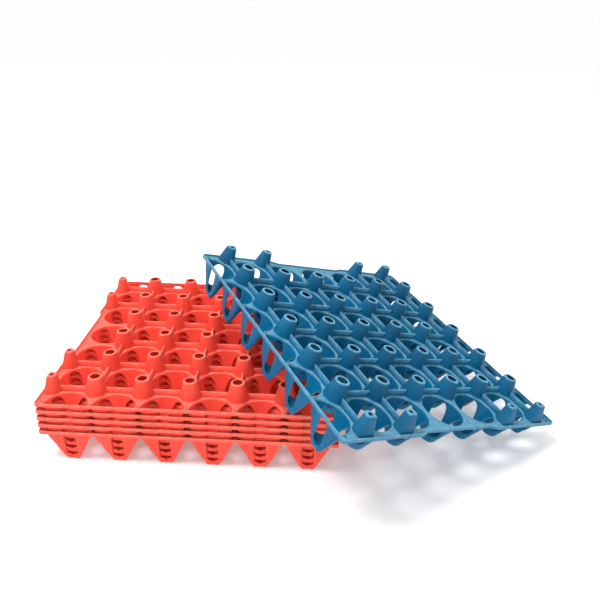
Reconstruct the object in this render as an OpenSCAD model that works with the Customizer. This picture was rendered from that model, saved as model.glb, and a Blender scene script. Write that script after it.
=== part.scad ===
// A set of six plastic egg trays. Five red trays are nested in a stack and a
// blue tray of the same moulding leans on the stack with one corner on the floor.
// Each tray holds 30 eggs in 6 x 5 round cups, with a row of half cups at each end.
// Units are millimetres, +Z is up, and the floor is at z = 0.

/* [Tray] */
// Distance between neighbouring cup centres
pitch = 48; // [47.6:0.2:49]
// Half length of the short rims, at the corners and beside the edge posts
half_width = 150.5; // [150:0.5:152]
// Half length of the long rims
half_length = 147.5; // [147.5:0.5:149]
// Inset of the middle of each long rim
side_inset = 3.6; // [2:0.2:4]
// Thickness of the deck and the cup bottoms
deck_t = 1.5; // [1.2:0.1:1.6]
// Radius of the rounded tray corners
corner_r = 4; // [3:0.5:6]

/* [Rim lip] */
// Thickness of the upright lip around the deck
lip_t = 1.5; // [1.2:0.1:1.6]
// Height of the lip above the deck
lip_up = 1.5; // [1:0.1:2]
// Depth of the lip below the top of the deck
lip_down = 2.3; // [2:0.1:3]

/* [Cups] */
// Depth of a cup below the top of the deck
cup_depth = 35.5; // [34:0.5:37]
// Inner radius of a cup at the top of the deck
mouth_r = 22.3; // [21.8:0.1:22.4]
// Change of cup radius with depth, as a ratio
cup_slope = 0.46; // [0.44:0.01:0.46]
// Cup wall thickness, measured level
cup_wall = 1.3; // [1:0.1:1.3]

/* [Cup openings] */
// Half width of the slot towards each post
slot_half = 7; // [6:0.5:7]
// Half width of the slot at its bevelled ends
slot_end = 3; // [2:0.5:4]
// Height of those bevels
slot_bevel = 4; // [3:0.5:5]
// Level of the slot's upper end, below the deck
slot_top = 2.6; // [2.5:0.1:4]
// Level of the slot's lower end, below the deck
slot_bottom = 25.4; // [22:0.2:26]
// Width of the upright opening in the end wall of a half cup
end_slot_w = 12; // [10:0.5:12]
// Level of the lower end of that opening, below the deck
end_slot_bottom = 30.5; // [28:0.5:31]

/* [End walls] */
// Distance of the end wall's outer face from the middle, at deck level
end_wall_y = 145.8; // [145.4:0.1:146]
// Thickness of the end wall, measured level
end_wall_t = 0.8; // [0.7:0.05:0.8]
// Inward lean of the end wall with depth, as a ratio
end_wall_slope = 0.14; // [0.14:0.01:0.15]

/* [Posts] */
// Height of the posts above the deck
post_h = 18.8; // [17:0.2:19]
// Outer radius of a post at the deck
post_base_r = 11.5; // [11:0.1:11.5]
// Outer radius of a post at its top
post_top_r = 6.2; // [6:0.1:6.4]
// Post wall thickness, measured level
post_wall = 1.3; // [1:0.1:1.4]
// Distance of the edge posts from the middle
edge_post_x = 140; // [139.8:0.1:140.2]
// Outer half width of an edge post at the deck
edge_base_r = 8.7; // [8.4:0.1:8.8]
// Outer half width of an edge post at its top
edge_top_r = 4.8; // [4.6:0.1:4.9]
// Edge post wall thickness, measured level
edge_wall = 1.2; // [1:0.1:1.2]
// Reach of an edge post's flat face beyond its middle, at the deck
edge_face = 7.5; // [7.2:0.1:7.5]
// Radius of the small hole in the top of an edge post
edge_hole_r = 2.2; // [1.5:0.1:2.5]

/* [Ribs] */
// Height of the ribs between the posts, just under the next nested deck
rib_h = 6.3; // [5:0.1:6.3]
// Thickness of the ribs
rib_t = 1.8; // [1.4:0.1:1.8]

/* [Arrangement] */
// Height from one nested tray to the next
nest_pitch = 8.15; // [8.15:0.05:9]
// Position of the middle of the stack
stack_pos = [-113.65, 38.6, 0];
// Position of the middle of the leaning tray's deck, from the stack's middle
lean_pos = [185.5, -38.6, 99.81];
// Turns of the leaning tray about X, Y and Z, in that order
lean_turn = [-17.838, 10.576, -57.806];

/* [Hidden] */
red = [0.93, 0.25, 0.18];
blue = [0.02, 0.36, 0.56];
columns = 6;
rows = 7;
post_columns = columns - 1;
post_rows = rows - 1;
edge_rows = [1, 2, 5, 6];
// Where the long rims step in, measured from the middle
step_in_y = 46;
step_out_y = 52;
// Length of overlap that keeps cutting shapes clear of the faces they cut through
over = 1;
// Distance from a half cup's axis at which its slots begin, just inside its end wall
slot_start = 10.5;
// Distance beyond the last full cup's axis at which a run of slots ends
slot_past = 30;
// Level of the upper end of the end wall opening, below the deck
end_slot_top = 4;
// Depth of the end wall opening's cutter, measured from the wall's outer face at deck level
end_slot_reach = 7;
// Thickness left over the hollow of an edge post
edge_cap = 1.2;
$fn = 64;

function cup_x(i) = (i - (columns - 1) / 2) * pitch;
function cup_y(j) = (j - (rows - 1) / 2) * pitch;
function post_x(i) = (i - columns / 2) * pitch;
function post_y(j) = (j - rows / 2) * pitch;
function cup_r(depth) = mouth_r - cup_slope * depth;
function post_r(z) = post_base_r + (post_top_r - post_base_r) * z / post_h;
function edge_r(z) = edge_base_r + (edge_top_r - edge_base_r) * z / post_h;

// Outline of the deck, moved inward by gap
module outline(gap) {
    x = half_width - gap;
    xi = half_width - side_inset - gap;
    y = half_length - gap;
    r = corner_r - gap;
    front = [[x - r, -y], [x, r - y], [x, -step_out_y], [xi, -step_in_y]];
    back = [for (k = [3:-1:0]) [front[k][0], -front[k][1]]];
    right = concat(front, back);
    left = [for (k = [7:-1:0]) [-right[k][0], right[k][1]]];
    polygon(concat(right, left));
    for (sx = [-1, 1], sy = [-1, 1])
        translate([sx * (x - r), sy * (y - r)])
            circle(r = r);
}

// The deck plate with its upright lip
module deck() {
    translate([0, 0, -deck_t])
        linear_extrude(deck_t)
            outline(0);
    translate([0, 0, -lip_down])
        linear_extrude(lip_up + lip_down)
            difference() {
                outline(0);
                outline(lip_t);
            }
}

// A block between two sloping end walls whose outer faces stand at reach from the middle
module between_ends(reach) {
    low = reach - end_wall_slope * (cup_depth + over);
    high = reach + end_wall_slope * over;
    rotate([90, 0, 90])
        linear_extrude(2 * half_width, center = true)
            polygon([[-low, -cup_depth - over], [low, -cup_depth - over], [high, over], [-high, over]]);
}

// All cups as solid cones, down to the given depth and with extra radius grow
module cup_cones(depth, grow) {
    for (i = [0:columns - 1], j = [0:rows - 1])
        translate([cup_x(i), cup_y(j), -depth])
            cylinder(h = depth, r1 = cup_r(depth) + grow, r2 = mouth_r + grow);
}

module cups_outside() {
    intersection() {
        cup_cones(cup_depth, cup_wall);
        between_ends(end_wall_y);
    }
}

// The hollows of the cups, open at the top of the deck
module cups_inside() {
    intersection() {
        union() {
            cup_cones(cup_depth - deck_t, 0);
            for (i = [0:columns - 1], j = [0:rows - 1])
                translate([cup_x(i), cup_y(j), 0])
                    cylinder(h = over, r = mouth_r);
        }
        between_ends(end_wall_y - end_wall_t);
    }
}

// One run of slots, from the point a to the point b in the deck's plane
module slot_run(a, b) {
    d = b - a;
    translate([a[0], a[1], 0])
        rotate([0, 0, atan2(d[1], d[0])])
            rotate([90, 0, 90])
                linear_extrude(norm(d))
                    polygon([
                        [-slot_end, -slot_top],
                        [slot_end, -slot_top],
                        [slot_half, -slot_top - slot_bevel],
                        [slot_half, slot_bevel - slot_bottom],
                        [slot_end, -slot_bottom],
                        [-slot_end, -slot_bottom],
                        [-slot_half, slot_bevel - slot_bottom],
                        [-slot_half, -slot_top - slot_bevel]
                    ]);
}

// Runs of slots along one diagonal direction, through every cup they meet.
// side is 1 for runs that go towards +X as they go towards +Y, and -1 for the others.
module slot_runs(side) {
    for (k = [1 - rows:columns - 1]) {
        j0 = max(0, -k);
        j1 = min(rows - 1, columns - 1 - k);
        start = j0 == 0 ? slot_start : -slot_past;
        end = j1 == rows - 1 ? -slot_start : slot_past;
        way = [side, 1] / sqrt(2);
        slot_run(
            [side * cup_x(j0 + k), cup_y(j0)] + start * way,
            [side * cup_x(j1 + k), cup_y(j1)] + end * way
        );
    }
}

// The upright openings in the end walls of the half cups
module end_slots() {
    for (i = [0:columns - 1], s = [-1, 1])
        translate([cup_x(i) - end_slot_w / 2, s * end_wall_y - (s > 0 ? end_slot_reach : 0), -end_slot_bottom])
            cube([end_slot_w, end_slot_reach, end_slot_bottom - end_slot_top]);
}

// A post as a cone, thinned by wall, that starts at the level low and ends at the level high
module post_cone(wall, low, high) {
    for (i = [1:post_columns], j = [1:post_rows])
        translate([post_x(i), post_y(j), low])
            cylinder(h = high - low, r1 = post_r(low) - wall, r2 = post_r(high) - wall);
}

// An edge post at the origin with its flat face towards +X
module edge_post(wall, low, high) {
    lean = (edge_base_r - edge_top_r) / post_h;
    face_low = edge_face - wall - lean * low;
    face_high = edge_face - wall - lean * high;
    translate([0, 0, low])
        cylinder(h = high - low, r1 = edge_r(low) - wall, r2 = edge_r(high) - wall);
    intersection() {
        rotate([90, 0, 0])
            linear_extrude(2 * edge_base_r + over, center = true)
                polygon([[0, low], [face_low, low], [face_high, high], [0, high]]);
        rotate([90, 0, 90])
            linear_extrude(edge_face + over)
                polygon([
                    [wall - edge_r(low), low],
                    [edge_r(low) - wall, low],
                    [edge_r(high) - wall, high],
                    [wall - edge_r(high), high]
                ]);
    }
}

module at_edge_posts() {
    for (s = [0, 180], j = edge_rows)
        rotate([0, 0, s])
            translate([edge_post_x, post_y(j), 0])
                children();
}

module ribs() {
    across = (post_columns - 1) * pitch;
    along = (post_rows - 1) * pitch;
    for (j = [1:post_rows])
        translate([-across / 2, post_y(j) - rib_t / 2, 0])
            cube([across, rib_t, rib_h]);
    for (j = edge_rows)
        translate([-edge_post_x, post_y(j) - rib_t / 2, 0])
            cube([2 * edge_post_x, rib_t, rib_h]);
    for (i = [1:post_columns])
        translate([post_x(i) - rib_t / 2, -along / 2, 0])
            cube([rib_t, along, rib_h]);
}

// One whole tray, with the top of its deck at z = 0
module tray() {
    difference() {
        union() {
            deck();
            cups_outside();
            ribs();
            post_cone(0, 0, post_h);
            at_edge_posts()
                edge_post(0, 0, post_h);
        }
        cups_inside();
        slot_runs(1);
        slot_runs(-1);
        end_slots();
        post_cone(post_wall, -deck_t - over, post_h + over);
        at_edge_posts() {
            edge_post(edge_wall, -deck_t - over, post_h - edge_cap);
            cylinder(h = post_h + over, r = edge_hole_r);
        }
    }
}

module red_tray(level) {
    color(red)
        translate(stack_pos + [0, 0, cup_depth + (level - 1) * nest_pitch])
            tray();
}

module blue_tray() {
    color(blue)
        translate(stack_pos + lean_pos)
            rotate(lean_turn)
                tray();
}

red_tray(1);  // red_tray_1
red_tray(2);  // red_tray_2
red_tray(3);  // red_tray_3
red_tray(4);  // red_tray_4
red_tray(5);  // red_tray_5
blue_tray();
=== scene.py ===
"""Looks for a set of plastic egg trays: five red ones nested in a stack and a blue one that leans on it.

One tray is built as the sheet of its upper surface, in millimetres, with the top of the deck at z = 0.
The sheet is then given its wall thickness, and the finished mesh is placed once for each tray.
"""

import math

import bmesh
import bpy
import numpy as np
from mathutils import Euler, Matrix, Vector


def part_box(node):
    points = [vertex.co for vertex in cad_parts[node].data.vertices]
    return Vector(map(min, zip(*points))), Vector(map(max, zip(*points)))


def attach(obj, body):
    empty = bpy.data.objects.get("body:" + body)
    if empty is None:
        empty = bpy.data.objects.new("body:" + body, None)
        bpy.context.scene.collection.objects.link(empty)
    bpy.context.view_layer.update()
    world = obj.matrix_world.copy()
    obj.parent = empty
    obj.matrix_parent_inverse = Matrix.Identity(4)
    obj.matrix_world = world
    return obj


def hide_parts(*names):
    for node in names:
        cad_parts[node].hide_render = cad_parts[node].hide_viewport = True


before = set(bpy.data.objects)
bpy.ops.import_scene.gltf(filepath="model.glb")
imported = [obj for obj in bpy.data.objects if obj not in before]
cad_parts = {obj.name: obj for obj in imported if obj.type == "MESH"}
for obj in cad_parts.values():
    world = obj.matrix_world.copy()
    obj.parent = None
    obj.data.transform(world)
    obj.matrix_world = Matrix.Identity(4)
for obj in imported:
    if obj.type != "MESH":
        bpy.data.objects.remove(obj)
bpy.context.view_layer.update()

MM = 0.001

# ---------------------------------------------------------------- sizes of one tray, mm
PITCH = 48.0
HALF_CELL = PITCH / 2
COLUMNS, ROWS = 6, 7
HALF_W, HALF_L = 150.5, 147.5
SIDE_INSET, STEP_IN_Y, STEP_OUT_Y = 3.6, 46.0, 52.0
CORNER_R = 4.0
DECK_T, CUP_T, POST_T, WALL_T = 1.5, 1.18, 1.22, 0.8
CUP_DEPTH = 35.5
FLOOR_Z = DECK_T - CUP_DEPTH
MOUTH_R, CUP_SLOPE = 22.3, 0.46
MOUTH_EDGE, MOUTH_OUT = 22.5, 23.1
MOUTH_Z = -0.1
HALF_FOOT = 4.7
SLOT_TOP, SLOT_BOTTOM, SLOT_HALF, SLOT_POWER = 2.6, 25.4, 7.0, 2.6
END_TOP, END_BOTTOM, END_HALF, END_POWER = 2.2, 30.5, 6.0, 6.0
WALL_OUT, WALL_LEAN = 1.0, 0.14
POST_H, POST_BASE, POST_TOP = 18.8, 11.5, 7.0
POST_FOOT = 12.2
POST_LIP = 2.0
EDGE_X, EDGE_BASE, EDGE_TOP, EDGE_FACE = 140.0, 8.7, 5.0, 7.5
EDGE_T, EDGE_HOLE = 1.1, 2.2
EDGE_ROWS = (1, 2, 5, 6)
RIB_H, RIB_HALF = 6.3, 0.9
LIP_T, LIP_UP, LIP_DOWN, LIP_ROUND = 1.5, 1.5, 2.3, 0.45
DECK_END = 3.0

# Angles of the lines that run up an eighth of a cup, from its axis towards a post
RIB_ANGLE = math.degrees(math.atan((HALF_CELL - POST_FOOT) / HALF_CELL))
BASE = np.array([0.0, 9.0, 18.0, RIB_ANGLE, 32.5, 38.8, 45.0])
POST_FROM = 3


def cup_r(depth):
    return MOUTH_R - CUP_SLOPE * depth


def post_r(z):
    return POST_BASE + (POST_TOP - POST_BASE) * z / POST_H


def rounded(depth, top, bottom, half, power):
    """Half width at a depth of a rounded opening between two depths."""
    t = (depth - (top + bottom) / 2) / ((bottom - top) / 2)
    if abs(t) >= 1:
        return 0.0
    return half * (1 - abs(t) ** power) ** (1 / power)


def spread(top, bottom, steps):
    """Depths from bottom to top, close together near both ends."""
    mid, half = (top + bottom) / 2, (bottom - top) / 2
    return [mid + half * math.cos(math.pi * k / steps) for k in range(steps + 1)]


# Rows up the cup wall: radius, height, opening half width, wear and painted highlight, thickness
CUP_ROWS = [
    (5.5, FLOOR_Z, 0.0, 0.1, DECK_T),
    (6.45, FLOOR_Z + 0.3, 0.0, 0.15, 1.4),
    (7.1, FLOOR_Z + 1.1, 0.0, 0.1, 1.25),
]
for depth in (30.5, 28.0, 26.3):
    CUP_ROWS.append((cup_r(depth), -depth, 0.0, 0.0, CUP_T))
for depth in spread(SLOT_TOP, SLOT_BOTTOM, 12):
    slot = rounded(depth, SLOT_TOP, SLOT_BOTTOM, SLOT_HALF, SLOT_POWER)
    CUP_ROWS.append((cup_r(depth), -depth, slot, 0.0, CUP_T))
CUP_ROWS += [
    (cup_r(1.9), -1.9, 0.0, 0.05, CUP_T),
    (cup_r(1.3), -1.3, 0.0, 0.25, 1.25),
    (22.02, -0.5, 0.0, 0.75, 1.35),
    (MOUTH_EDGE, MOUTH_Z, 0.0, 1.0, 1.45),
]

# Rows up a post: height, radius next to the ribs, radius next to the cup, wear and painted highlight,
# thickness
POST_ROWS = [
    (0.0, POST_FOOT, POST_BASE, 0.45, DECK_T),
    (0.7, post_r(0.7) + 0.15, post_r(0.7), 0.15, 1.3),
    (2.0, post_r(2.0), post_r(2.0), 0.0, POST_T),
    (17.5, post_r(17.5), post_r(17.5), 0.1, POST_T),
    (18.4, POST_TOP - 0.05, POST_TOP - 0.05, 0.8, 1.15),
    (POST_H, POST_TOP - 0.5, POST_TOP - 0.5, 1.0, 1.1),
    (POST_H, POST_TOP - POST_LIP, POST_TOP - POST_LIP, 1.0, 1.1),
]


def wall_y(z):
    """Place of the end wall's inner face, from the half cup's axis towards the middle of the tray."""
    return -WALL_OUT - WALL_LEAN * z


class Sheet:
    """Faces of a surface, with a thickness and a value of wear and painted highlight at every point."""

    def __init__(self):
        self.points, self.thick, self.wear, self.pad, self.faces = [], [], [], [], []

    def point(self, p, thick, wear, pad=0.0):
        self.points.append(tuple(p))
        self.thick.append(thick)
        self.wear.append(wear)
        self.pad.append(pad)
        return len(self.points) - 1

    def face(self, corners, flip):
        self.faces.append(corners[::-1] if flip else corners)

    def grid(self, rows, flip, closed=False):
        """Quads between rows of point numbers."""
        for a, b in zip(rows, rows[1:]):
            n = len(a)
            for k in range(n if closed else n - 1):
                m = (k + 1) % n
                self.face([a[k], a[m], b[m], b[k]], flip)


def octant_rows(has_post, walled):
    """Rows of points of an eighth of a cup, its axis along x and its post at (HALF_CELL, HALF_CELL)."""
    out = []
    for r, z, w, wear, thick in CUP_ROWS:
        start = 0.0
        if walled:
            start = math.degrees(math.asin(max(-1.0, min(1.0, wall_y(z) / r))))
        limit = 45.0 - (math.degrees(math.asin(w / r)) if w > 0 else 0.0)
        row = []
        for c, a in enumerate(BASE):
            angle = math.radians(start + a / 45.0 * (limit - start))
            radius = r
            if has_post and z == MOUTH_Z and c >= POST_FROM:
                radius = r - 0.2 * (c - POST_FROM) / 3
            # An opening's edge is paler: painted highlight with wear.
            edge = wear + (0.35 if w > 0 and c == 6 else 0.0)
            row.append(((radius * math.cos(angle), radius * math.sin(angle), z), thick, edge, 0.0))
        out.append(row)
    return out


def rim_side(c, walled):
    """Point c on the cell's straight side at x = HALF_CELL."""
    if c <= POST_FROM:
        end = HALF_CELL - POST_FOOT
        if walled:
            y = -WALL_OUT + (end + WALL_OUT) * c / POST_FROM
        else:
            y = HALF_CELL * math.tan(math.radians(BASE[c]))
    else:
        y = HALF_CELL - POST_FOOT + POST_FOOT * (c - POST_FROM) / 3
    return (HALF_CELL, y, 0.0)


def deck_row(has_post, walled):
    """The row just outside the mouth's rounded edge."""
    row = []
    for c, a in enumerate(BASE):
        start = math.degrees(math.asin(-WALL_OUT / MOUTH_OUT)) if walled else 0.0
        angle = math.radians(start + a / 45.0 * (45.0 - start))
        if has_post and c >= POST_FROM:
            k = (c - POST_FROM) / 3
            mouth = MOUTH_EDGE - 0.2 * k
            inner = np.array([mouth * math.cos(angle), mouth * math.sin(angle)])
            outer = np.array(post_point(c, POST_FOOT, POST_BASE))
            x, y = inner * 0.5 + outer * 0.5
        else:
            x, y = MOUTH_OUT * math.cos(angle), MOUTH_OUT * math.sin(angle)
        row.append(((x, y, 0.0), DECK_T, 0.7, 0.6))
    return row


def post_point(c, at_rib, at_cup):
    k = (c - POST_FROM) / 3
    radius = at_rib + (at_cup - at_rib) * k
    angle = math.radians(-90.0 - 45.0 * k)
    return (HALF_CELL + radius * math.cos(angle), HALF_CELL + radius * math.sin(angle))


def add_octant(sheet, centre, turn, has_post, walled):
    """Adds an eighth of a cup, turned by a 2 x 2 matrix. Returns the point numbers of its bottom row."""
    flip = np.linalg.det(turn) < 0

    def put(entry):
        (x, y, z), thick, wear, pad = entry
        u = turn @ np.array([x, y])
        return sheet.point((centre[0] + u[0], centre[1] + u[1], z), thick, wear, pad)

    rows = [[put(e) for e in row] for row in octant_rows(has_post, walled)]
    rows.append([put(e) for e in deck_row(has_post, walled)])
    sheet.grid(rows, not flip)
    side = [put((rim_side(c, walled), DECK_T, 0.35, 1.0)) for c in range(POST_FROM + 1)]
    sheet.grid([rows[-1][: POST_FROM + 1], side], not flip)
    if has_post:
        up = [rows[-1][POST_FROM:]]
        for z, at_rib, at_cup, wear, thick in POST_ROWS:
            pad = 0.6 if z == 0 else 0.0
            ring = [(*post_point(c, at_rib, at_cup), z) for c in range(POST_FROM, 7)]
            up.append([put((p, thick, wear, pad)) for p in ring])
        sheet.grid(up, not flip)
    else:
        corner = [put((rim_side(c, walled), DECK_T, 0.3, 1.0)) for c in range(POST_FROM, 7)]
        sheet.grid([rows[-1][POST_FROM:], corner], not flip)
    return rows[0]


def turn_of(ax, ay, swap):
    """Matrix that carries an octant's own x and y to a cup's eighth."""
    m = np.array([[ax, 0.0], [0.0, ay]])
    return m @ np.array([[0.0, 1.0], [1.0, 0.0]]) if swap else m


def is_post(x, y):
    return abs(x) < 2.5 * PITCH and abs(y) < 2.9 * PITCH


def add_full_cup(sheet, cx, cy):
    middle = sheet.point((cx, cy, FLOOR_Z), DECK_T, 0.05)
    for ax in (1, -1):
        for ay in (1, -1):
            has_post = is_post(cx + ax * HALF_CELL, cy + ay * HALF_CELL)
            for swap in (False, True):
                turn = turn_of(ax, ay, swap)
                bottom = add_octant(sheet, (cx, cy), turn, has_post, False)
                flip = np.linalg.det(turn) < 0
                for a, b in zip(bottom, bottom[1:]):
                    sheet.face([middle, a, b], flip)


def wall_rows():
    """Rows of an end wall's half, from the cone's edge to the opening or the middle: x, y, z."""
    out = []
    for r, z, _, wear, _ in CUP_ROWS + [(MOUTH_OUT, 0.0, 0.0, 0.6, DECK_T)]:
        y = wall_y(z)
        edge = math.sqrt(r * r - y * y)
        opening = min(rounded(-z, END_TOP, END_BOTTOM, END_HALF, END_POWER), 0.8 * edge)
        row = []
        for k in range(4):
            # An opening's edge is paler: painted highlight with wear.
            worn_and_lit = wear + (0.3 if opening > 0 and k == 3 else 0.0)
            row.append((edge + (opening - edge) * k / 3, y, z, worn_and_lit))
        out.append(row)
    return out


def add_half_cup(sheet, cx, side):
    """A half cup whose end wall faces the short rim at side +1 or -1."""
    cy = side * 3 * PITCH
    middle = sheet.point((cx, cy - side * HALF_FOOT, FLOOR_Z), DECK_T, 0.05)
    for ax in (1, -1):
        has_post = is_post(cx + ax * HALF_CELL, cy - side * HALF_CELL)
        for swap in (False, True):
            turn = turn_of(ax, -side, swap)
            bottom = add_octant(sheet, (cx, cy), turn, has_post, not swap)
            flip = np.linalg.det(turn) < 0
            for a, b in zip(bottom, bottom[1:]):
                sheet.face([middle, a, b], flip)
        flip = ax * -side < 0
        rows = []
        for row in wall_rows():
            places = [((cx + ax * x, cy - side * y, z), wear) for x, y, z, wear in row]
            rows.append([sheet.point(p, WALL_T, wear) for p, wear in places])
        sheet.grid(rows, flip)
        for a, b in zip(rows[0], rows[0][1:]):
            sheet.face([middle, b, a], flip)
        rim_y = cy + side * DECK_END
        corner = (cx + ax * HALF_CELL, cy + side * WALL_OUT, 0.0)
        top = [sheet.point(corner, DECK_T, 0.35, 1.0)] + rows[-1]
        rim = [sheet.point((cx + ax * HALF_CELL, rim_y, 0.0), DECK_T, 0.4, 1.0)]
        rim += [sheet.point((cx + ax * row[0], rim_y, 0.0), DECK_T, 0.4, 1.0) for row in wall_rows()[-1]]
        sheet.grid([top, rim], not flip)


def rim_x(y):
    """Distance of the long rim from the middle, at y."""
    t = (abs(y) - STEP_IN_Y) / (STEP_OUT_Y - STEP_IN_Y)
    return HALF_W - SIDE_INSET * (1 - max(0.0, min(1.0, t)))


def add_long_rims(sheet):
    """The strips of deck between the outer cups and the long rims."""
    ys = []
    for j in range(1, ROWS - 1):
        cy = (j - 3) * PITCH
        sides = [rim_side(c, False)[1] for c in range(7)]
        ys += [cy + s * v for v in sides for s in (1, -1)]
    for s in (1, -1):
        ys += [s * (3 * PITCH - rim_side(c, True)[1]) for c in range(7)] + [s * (3 * PITCH + DECK_END)]
    ys = sorted(set(round(y, 4) for y in ys))
    for s in (1, -1):
        inner, outer = [], []
        for y in ys:
            x = rim_x(y) - 0.8
            inner.append(sheet.point((s * 3 * PITCH, y, 0.0), DECK_T, 0.35, 1.0))
            cx, cy = HALF_W - CORNER_R, HALF_L - CORNER_R
            yy = y
            if x > cx and abs(y) > cy:
                v = Vector((x - cx, abs(y) - cy))
                v = v.normalized() * min(v.length, 3.2)
                x, yy = cx + v.x, math.copysign(cy + v.y, y)
            outer.append(sheet.point((s * x, yy, 0.0), DECK_T, 0.4, 1.0))
        sheet.grid([inner, outer], s > 0)


def d_ring(z, inset):
    """Outline of an edge post at a height, counter-clockwise, its flat face towards +x."""
    r = EDGE_BASE + (EDGE_TOP - EDGE_BASE) * z / POST_H - inset
    face = EDGE_FACE - (EDGE_BASE - EDGE_TOP) / POST_H * z - inset
    angles = [math.pi / 2 + math.pi * k / 12 for k in range(13)]
    points = [(r * math.cos(a), r * math.sin(a)) for a in angles]
    cut = 1.2
    points += [(face - cut, -r), (face - cut * 0.3, -r + cut * 0.3), (face, cut - r)]
    points += [(face, 0.0)]
    points += [(face, r - cut), (face - cut * 0.3, r - cut * 0.3), (face - cut, r)]
    return points


def add_edge_posts(sheet):
    # Third value: wear and painted highlight, palest on the post's top.
    rows = [(-0.4, -0.1, 0.3), (0.5, 0.0, 0.1), (17.6, 0.0, 0.1), (18.45, 0.12, 0.8), (POST_H, 0.6, 1.0)]
    for side in (1, -1):
        for j in EDGE_ROWS:
            cx, cy = side * EDGE_X, (j - ROWS / 2) * PITCH
            loops = []
            for z, inset, wear in rows:
                ring = [(cx + side * x, cy + side * y, z) for x, y in d_ring(max(z, 0.0), inset)]
                loops.append([sheet.point(p, EDGE_T, wear) for p in ring])
            hole = []
            for x, y in d_ring(POST_H, 0.6):
                v = Vector((x, y)).normalized() * EDGE_HOLE
                hole.append(sheet.point((cx + side * v.x, cy + side * v.y, POST_H - 0.05), EDGE_T, 0.8))
            loops.append(hole)
            sheet.grid(loops, False, closed=True)


def thicken(sheet):
    """Welds the sheet and gives it its thickness. Returns points, faces, wear with painted highlight,
    and pad as plain lists.
    """
    mesh = bmesh.new()
    layers = [mesh.verts.layers.float.new(n) for n in ("thick", "wear", "pad")]
    verts = []
    for p, values in zip(sheet.points, zip(sheet.thick, sheet.wear, sheet.pad)):
        v = mesh.verts.new(p)
        for layer, value in zip(layers, values):
            v[layer] = value
        verts.append(v)
    for f in sheet.faces:
        mesh.faces.new([verts[k] for k in f])
    bmesh.ops.remove_doubles(mesh, verts=mesh.verts, dist=0.02)
    bmesh.ops.dissolve_degenerate(mesh, edges=mesh.edges, dist=0.001)
    mesh.normal_update()
    mesh.verts.index_update()
    top = [v.co.copy() for v in mesh.verts]
    below = [v.co - v.normal * v[layers[0]] for v in mesh.verts]
    n = len(top)
    faces = [[v.index for v in f.verts] for f in mesh.faces]
    faces += [[v.index + n for v in reversed(f.verts)] for f in mesh.faces]
    for e in mesh.edges:
        if e.is_boundary:
            loop = e.link_loops[0]
            a, b = loop.vert.index, loop.link_loop_next.vert.index
            faces.append([b, a, a + n, b + n])
    wear = [v[layers[1]] for v in mesh.verts]
    pad = [v[layers[2]] for v in mesh.verts]
    mesh.free()
    # The underside shell gets a weaker copy of the painted highlight and wear, and no pad sheen.
    return top + below, faces, wear + [0.4 * w for w in wear], pad + [0.0] * n


def outline():
    """The deck's outline, counter-clockwise, with rounded corners."""
    x, y, r = HALF_W, HALF_L, CORNER_R
    points = []
    corners = ((x - r, y - r, 0), (r - x, y - r, 90), (r - x, r - y, 180), (x - r, r - y, 270))
    step = [
        (STEP_OUT_Y + 1.5, 0.0),
        (STEP_OUT_Y - 0.5, 0.5),
        (STEP_IN_Y + 0.5, SIDE_INSET - 0.5),
        (STEP_IN_Y - 1.5, SIDE_INSET),
    ]
    for cx, cy, start in corners:
        for k in range(7):
            a = math.radians(start + 15 * k)
            points.append((cx + r * math.cos(a), cy + r * math.sin(a)))
        if start == 90:
            points += [(-x + d, v) for v, d in step] + [(-x + d, -v) for v, d in reversed(step)]
        if start == 270:
            points += [(x - d, -v) for v, d in step] + [(x - d, v) for v, d in reversed(step)]
    return points


def add_lip(points, faces, wear, pad):
    """The upright lip, swept round the outline."""
    line = [Vector(p) for p in outline()]
    n = len(line)
    c = LIP_ROUND
    section = [
        (0.0, -LIP_DOWN + c), (0.0, LIP_UP - c), (c * 0.3, LIP_UP - c * 0.3), (c, LIP_UP),
        (LIP_T - c, LIP_UP), (LIP_T - c * 0.3, LIP_UP - c * 0.3), (LIP_T, LIP_UP - c),
        (LIP_T, -LIP_DOWN + c), (LIP_T - c, -LIP_DOWN), (c, -LIP_DOWN),
    ]
    # Palest on the rounded top: painted highlight with wear.
    worn_and_lit = [0.3, 0.6, 1.0, 0.9, 0.9, 1.0, 0.6, 0.3, 0.4, 0.4]
    loops = []
    for k, p in enumerate(line):
        a, b = (p - line[k - 1]).normalized(), (line[(k + 1) % n] - p).normalized()
        t = (a + b).normalized()
        out = Vector((t.y, -t.x)) / max(0.5, t.dot(a))
        loop = []
        for (inset, z), w in zip(section, worn_and_lit):
            q = p - out * inset
            loop.append(len(points))
            points.append(Vector((q.x, q.y, z)))
            wear.append(w)
            pad.append(0.0)
        loops.append(loop)
    m = len(section)
    for k in range(n):
        a, b = loops[k], loops[(k + 1) % n]
        for s in range(m):
            t = (s + 1) % m
            faces.append([a[s], b[s], b[t], a[t]])


def add_rib(points, faces, wear, pad, start, end, ends):
    """A rib from start to end. ends says, for each end, how far in it stops at its foot and its top."""
    start, end = Vector(start), Vector(end)
    d = (end - start).normalized()
    side = Vector((-d.y, d.x))
    w, c = RIB_HALF, 0.4
    section = [
        (-w - 0.25, -0.2), (w + 0.25, -0.2), (w, 0.7), (w, RIB_H - c),
        (w - c, RIB_H), (c - w, RIB_H), (-w, RIB_H - c), (-w, 0.7),
    ]
    # Palest along the rounded top edges: painted highlight with wear.
    worn_and_lit = [0.2, 0.2, 0.0, 0.5, 0.8, 0.8, 0.5, 0.0]
    loops = []
    for p, sign, (low, high) in ((start, 1, ends[0]), (end, -1, ends[1])):
        loop = []
        for (u, z), value in zip(section, worn_and_lit):
            q = p + d * sign * (low + (high - low) * z / RIB_H) + side * u
            loop.append(len(points))
            points.append(Vector((q.x, q.y, z)))
            wear.append(value)
            pad.append(0.0)
        loops.append(loop)
    a, b = loops
    m = len(section)
    for s in range(m):
        t = (s + 1) % m
        faces.append([a[s], b[s], b[t], a[t]][::-1])
    faces.append(a[:])
    faces.append(b[::-1])


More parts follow.
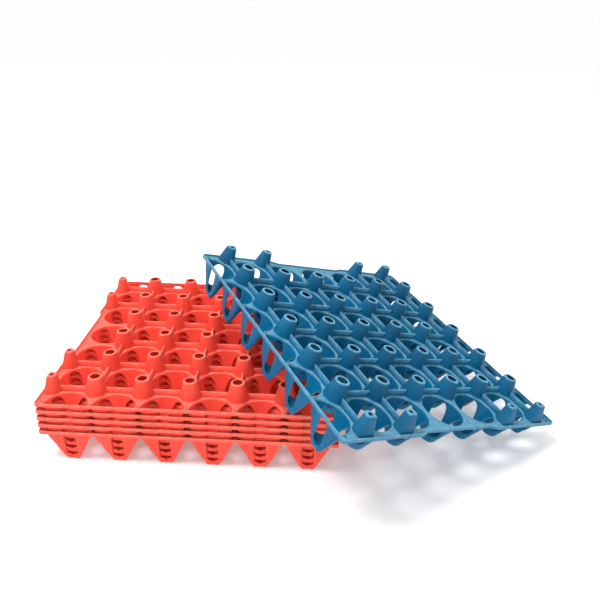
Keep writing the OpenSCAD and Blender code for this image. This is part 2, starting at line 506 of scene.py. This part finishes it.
def add_ribs(points, faces, wear, pad):
    at_post, at_edge = (10.8, 9.0), (8.0, 6.7)
    xs = [(i - COLUMNS / 2) * PITCH for i in range(1, COLUMNS)]
    ys = [(j - ROWS / 2) * PITCH for j in range(1, ROWS)]
    for y in ys:
        for a, b in zip(xs, xs[1:]):
            add_rib(points, faces, wear, pad, (a, y), (b, y), (at_post, at_post))
    for j in EDGE_ROWS:
        y = ys[j - 1]
        add_rib(points, faces, wear, pad, (-EDGE_X, y), (xs[0], y), (at_edge, at_post))
        add_rib(points, faces, wear, pad, (xs[-1], y), (EDGE_X, y), (at_post, at_edge))
    for x in xs:
        for a, b in zip(ys, ys[1:]):
            add_rib(points, faces, wear, pad, (x, a), (x, b), (at_post, at_post))


def add_mark(points, faces, wear, pad, x, y, radius):
    """A small round moulding mark: a shallow ring that stands up from the pad."""
    steps = 20
    # The raised ring's top is palest: painted highlight with wear.
    rows = [
        (radius, -0.1, 0.3),
        (radius - 0.15, 0.3, 1.0),
        (radius - 0.7, 0.3, 1.0),
        (radius - 0.9, 0.08, 0.2),
    ]
    loops = []
    for r, z, value in rows:
        loop = []
        for k in range(steps):
            a = 2 * math.pi * k / steps
            loop.append(len(points))
            points.append(Vector((x + r * math.cos(a), y + r * math.sin(a), z)))
            wear.append(value)
            pad.append(0.0)
        loops.append(loop)
    for a, b in zip(loops, loops[1:]):
        for k in range(steps):
            m = (k + 1) % steps
            faces.append([a[k], a[m], b[m], b[k]])
    faces.append(loops[-1])


def add_marks(points, faces, wear, pad):
    for s in (1, -1):
        for i in range(1, COLUMNS):
            add_mark(points, faces, wear, pad, (i - 3) * PITCH, s * 141.0, 2.3)
        for t in (1, -1):
            add_mark(points, faces, wear, pad, s * 144.5, t * 141.0, 2.8)


def tray_mesh():
    sheet = Sheet()
    for i in range(COLUMNS):
        cx = (i - 2.5) * PITCH
        for j in range(1, ROWS - 1):
            add_full_cup(sheet, cx, (j - 3) * PITCH)
        for side in (1, -1):
            add_half_cup(sheet, cx, side)
    add_long_rims(sheet)
    add_edge_posts(sheet)
    points, faces, wear, pad = thicken(sheet)
    add_lip(points, faces, wear, pad)
    add_ribs(points, faces, wear, pad)
    add_marks(points, faces, wear, pad)
    mesh = bpy.data.meshes.new("tray")
    mesh.from_pydata([tuple(Vector(p) * MM) for p in points], [], faces)
    for name, values in (("wear", wear), ("pad", pad)):
        mesh.attributes.new(name, "FLOAT", "POINT").data.foreach_set("value", values)
    mesh.validate()
    mesh.shade_smooth()
    return mesh


# ---------------------------------------------------------------- plastic
def plastic(name, deep, base, worn_and_lit, radius, scatter, pad_sheen_amount):
    """Moulded plastic: dark in places, pale on edges with painted highlight and some wear, and a pale
    painted sky sheen with a fine texture on the flat pads.
    """
    mat = bpy.data.materials.new(name)
    mat.use_nodes = True
    nodes, links = mat.node_tree.nodes, mat.node_tree.links
    shader = nodes["Principled BSDF"]
    shader.inputs["IOR"].default_value = 1.5
    shader.inputs["Subsurface Weight"].default_value = scatter
    shader.inputs["Subsurface Radius"].default_value = radius
    shader.inputs["Subsurface Scale"].default_value = 0.002
    shader.inputs["Specular IOR Level"].default_value = 0.12
    place = nodes.new("ShaderNodeTexCoord")

    def noise(scale, detail, rough=0.5):
        n = nodes.new("ShaderNodeTexNoise")
        n.inputs["Scale"].default_value = scale
        n.inputs["Detail"].default_value = detail
        n.inputs["Roughness"].default_value = rough
        links.new(place.outputs["Object"], n.inputs["Vector"])
        return n.outputs["Fac"]

    def ranged(value, lo, hi, to_lo, to_hi):
        n = nodes.new("ShaderNodeMapRange")
        for key, v in (("From Min", lo), ("From Max", hi), ("To Min", to_lo), ("To Max", to_hi)):
            n.inputs[key].default_value = v
        links.new(value, n.inputs["Value"])
        return n.outputs["Result"]

    def maths(kind, a, b):
        n = nodes.new("ShaderNodeMath")
        n.operation = kind
        for k, v in enumerate((a, b)):
            if isinstance(v, float):
                n.inputs[k].default_value = v
            else:
                links.new(v, n.inputs[k])
        return n.outputs[0]

    def mixed(fac, a, b):
        n = nodes.new("ShaderNodeMix")
        n.data_type = "RGBA"
        links.new(fac, n.inputs["Factor"])
        for key, v in (("A", a), ("B", b)):
            socket = [s for s in n.inputs if s.name == key and s.type == "RGBA"][0]
            if isinstance(v, tuple):
                socket.default_value = v
            else:
                links.new(v, socket)
        return [s for s in n.outputs if s.type == "RGBA"][0]

    def attribute(key):
        n = nodes.new("ShaderNodeAttribute")
        n.attribute_name = key
        return n.outputs["Fac"]

    wear, pad = attribute("wear"), attribute("pad")
    broad, grain, streak = noise(14.0, 3.0), noise(1500.0, 2.0, 0.7), noise(160.0, 4.0, 0.6)
    colour = mixed(ranged(broad, 0.3, 0.7, 0.0, 1.0), (*deep, 1.0), (*base, 1.0))
    # Pale colour on rims, fillets and edges from the per-point value: painted highlight, with some real
    # wear.
    edge = maths("MULTIPLY", wear, ranged(streak, 0.35, 0.65, 0.4, 0.8))
    # Painted sky sheen: the flat pads turn pale, broken up by a fine grain.
    painted_pad_sheen = maths("MULTIPLY", pad, ranged(grain, 0.35, 0.65, 0.25 * pad_sheen_amount, pad_sheen_amount))
    colour = mixed(maths("MAXIMUM", edge, painted_pad_sheen), colour, (*worn_and_lit, 1.0))
    links.new(colour, shader.inputs["Base Color"])
    rough = maths("ADD", ranged(streak, 0.3, 0.7, 0.3, 0.42), maths("MULTIPLY", pad, 0.12))
    links.new(rough, shader.inputs["Roughness"])
    bump = nodes.new("ShaderNodeBump")
    bump.inputs["Distance"].default_value = 0.00025
    fine = maths("MULTIPLY", grain, maths("ADD", maths("MULTIPLY", pad, 0.7), 0.12))
    height = maths("ADD", fine, maths("MULTIPLY", streak, 0.15))
    links.new(height, bump.inputs["Height"])
    bump.inputs["Strength"].default_value = 0.6
    links.new(bump.outputs["Normal"], shader.inputs["Normal"])
    return mat


# The pale colour paints highlights on edges, with some wear, and a sky sheen on the flat pads; the last
# number sets how strong that painted pad sheen is.
RED = plastic(
    "red_plastic",
    deep=(0.86, 0.07, 0.045),
    base=(1.0, 0.1, 0.065),
    worn_and_lit=(1.0, 0.3, 0.22),
    radius=(1.0, 0.3, 0.2),
    scatter=0.7,
    pad_sheen_amount=0.3,
)
BLUE = plastic(
    "blue_plastic",
    deep=(0.0, 0.075, 0.17),
    base=(0.0, 0.125, 0.265),
    worn_and_lit=(0.22, 0.52, 0.68),
    radius=(0.1, 0.6, 1.0),
    scatter=0.25,
    pad_sheen_amount=0.9,
)

# ---------------------------------------------------------------- trays
low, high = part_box("red_tray_1")
STACK = Vector(((low.x + high.x) / 2, (low.y + high.y) / 2, 0.0))
LEAN_AT = Vector((185.5, -38.6, 99.81)) * MM
LEAN_TURN = Euler([math.radians(a) for a in (-17.838, 10.576, -57.806)], "XYZ")

tray = tray_mesh()
tray.materials.append(RED)
blue_mesh = tray.copy()
blue_mesh.materials[0] = BLUE


def place_tray(node, mesh, matrix):
    piece = bpy.data.objects.new(node + "_moulding", mesh)
    bpy.context.scene.collection.objects.link(piece)
    piece.matrix_world = matrix
    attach(piece, node)
    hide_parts(node)


for level in range(1, 6):
    node = "red_tray_%d" % level
    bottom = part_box(node)[0].z
    deck = STACK + Vector((0, 0, bottom + CUP_DEPTH * MM))
    place_tray(node, tray, Matrix.Translation(deck))
# The leaning tray's turn goes into its vertices, so that its box is measured from its true shape
blue_mesh.transform(Matrix.Translation(STACK + LEAN_AT) @ LEAN_TURN.to_matrix().to_4x4())
place_tray("blue_tray", blue_mesh, Matrix.Identity(4))

# ---------------------------------------------------------------- floor, light and camera
# A flat floor whose far edge curves up all round, so that no horizon shows
FLOOR_FLAT, FLOOR_BEND, FLOOR_STEPS, FLOOR_SIDES = 4.0, 30.0, 12, 96
BEND_RADIUS = 8.0


def floor_ring(radius, z):
    turns = [2 * math.pi * k / FLOOR_SIDES for k in range(FLOOR_SIDES)]
    return [(radius * math.cos(a), radius * math.sin(a), z) for a in turns]


floor_points, floor_faces = [(0.0, 0.0, 0.0)], []
for step in range(FLOOR_STEPS + 1):
    bend = math.radians(FLOOR_BEND * step / FLOOR_STEPS)
    radius = FLOOR_FLAT + BEND_RADIUS * math.sin(bend)
    floor_points += floor_ring(radius, BEND_RADIUS * (1 - math.cos(bend)))
for k in range(FLOOR_SIDES):
    m = (k + 1) % FLOOR_SIDES
    floor_faces.append((0, 1 + k, 1 + m))
    for step in range(FLOOR_STEPS):
        a, b = 1 + step * FLOOR_SIDES, 1 + (step + 1) * FLOOR_SIDES
        floor_faces.append((a + k, b + k, b + m, a + m))
floor_mesh = bpy.data.meshes.new("floor")
floor_mesh.from_pydata(floor_points, [], floor_faces)
floor_mesh.shade_smooth()
floor = bpy.data.objects.new("floor", floor_mesh)
floor.location.z = -0.0005
bpy.context.scene.collection.objects.link(floor)
floor_mat = bpy.data.materials.new("floor")
floor_mat.use_nodes = True
floor_shader = floor_mat.node_tree.nodes["Principled BSDF"]
floor_shader.inputs["Base Color"].default_value = (0.96, 0.96, 0.96, 1)
floor_shader.inputs["Roughness"].default_value = 0.9
floor_shader.inputs["Emission Color"].default_value = (1.0, 1.0, 1.0, 1)
floor_shader.inputs["Emission Strength"].default_value = 0.2
floor_mesh.materials.append(floor_mat)

scene = bpy.context.scene
world = bpy.data.worlds.new("studio")
world.use_nodes = True
world.node_tree.nodes["Background"].inputs["Color"].default_value = (1.0, 1.0, 1.0, 1)
world.node_tree.nodes["Background"].inputs["Strength"].default_value = 0.8
scene.world = world
scene.view_settings.view_transform = "Standard"


def area_light(name, at, target, size, power):
    data = bpy.data.lights.new(name, "AREA")
    data.shape = "DISK"
    data.size = size
    data.energy = power
    light = bpy.data.objects.new(name, data)
    light.location = at
    light.rotation_euler = (Vector(target) - Vector(at)).to_track_quat("-Z", "Y").to_euler()
    scene.collection.objects.link(light)


area_light("key", (-0.6, -0.4, 1.6), (0, 0, 0.06), 0.6, 20)

# The camera's place is measured from the middle of the stack
camera_data = bpy.data.cameras.new("camera")
camera = bpy.data.objects.new("camera", camera_data)
scene.collection.objects.link(camera)
right = Vector((0.9985, 0.0516, 0.018)).normalized()
forward = Vector((-0.04, 0.9135, -0.405))
forward = (forward - right * forward.dot(right)).normalized()
up = right.cross(forward)
turn = Matrix((right, up, -forward)).transposed()
camera.matrix_world = Matrix.Translation(STACK + Vector((131.5, -674.0, 447.4)) * MM) @ turn.to_4x4()
camera_data.sensor_width = 36.0
camera_data.lens = 39.6
camera_data.shift_x = 0.0007
camera_data.shift_y = -0.0355
camera_data.clip_start = 0.01
camera_data.clip_end = 30.0
scene.camera = camera
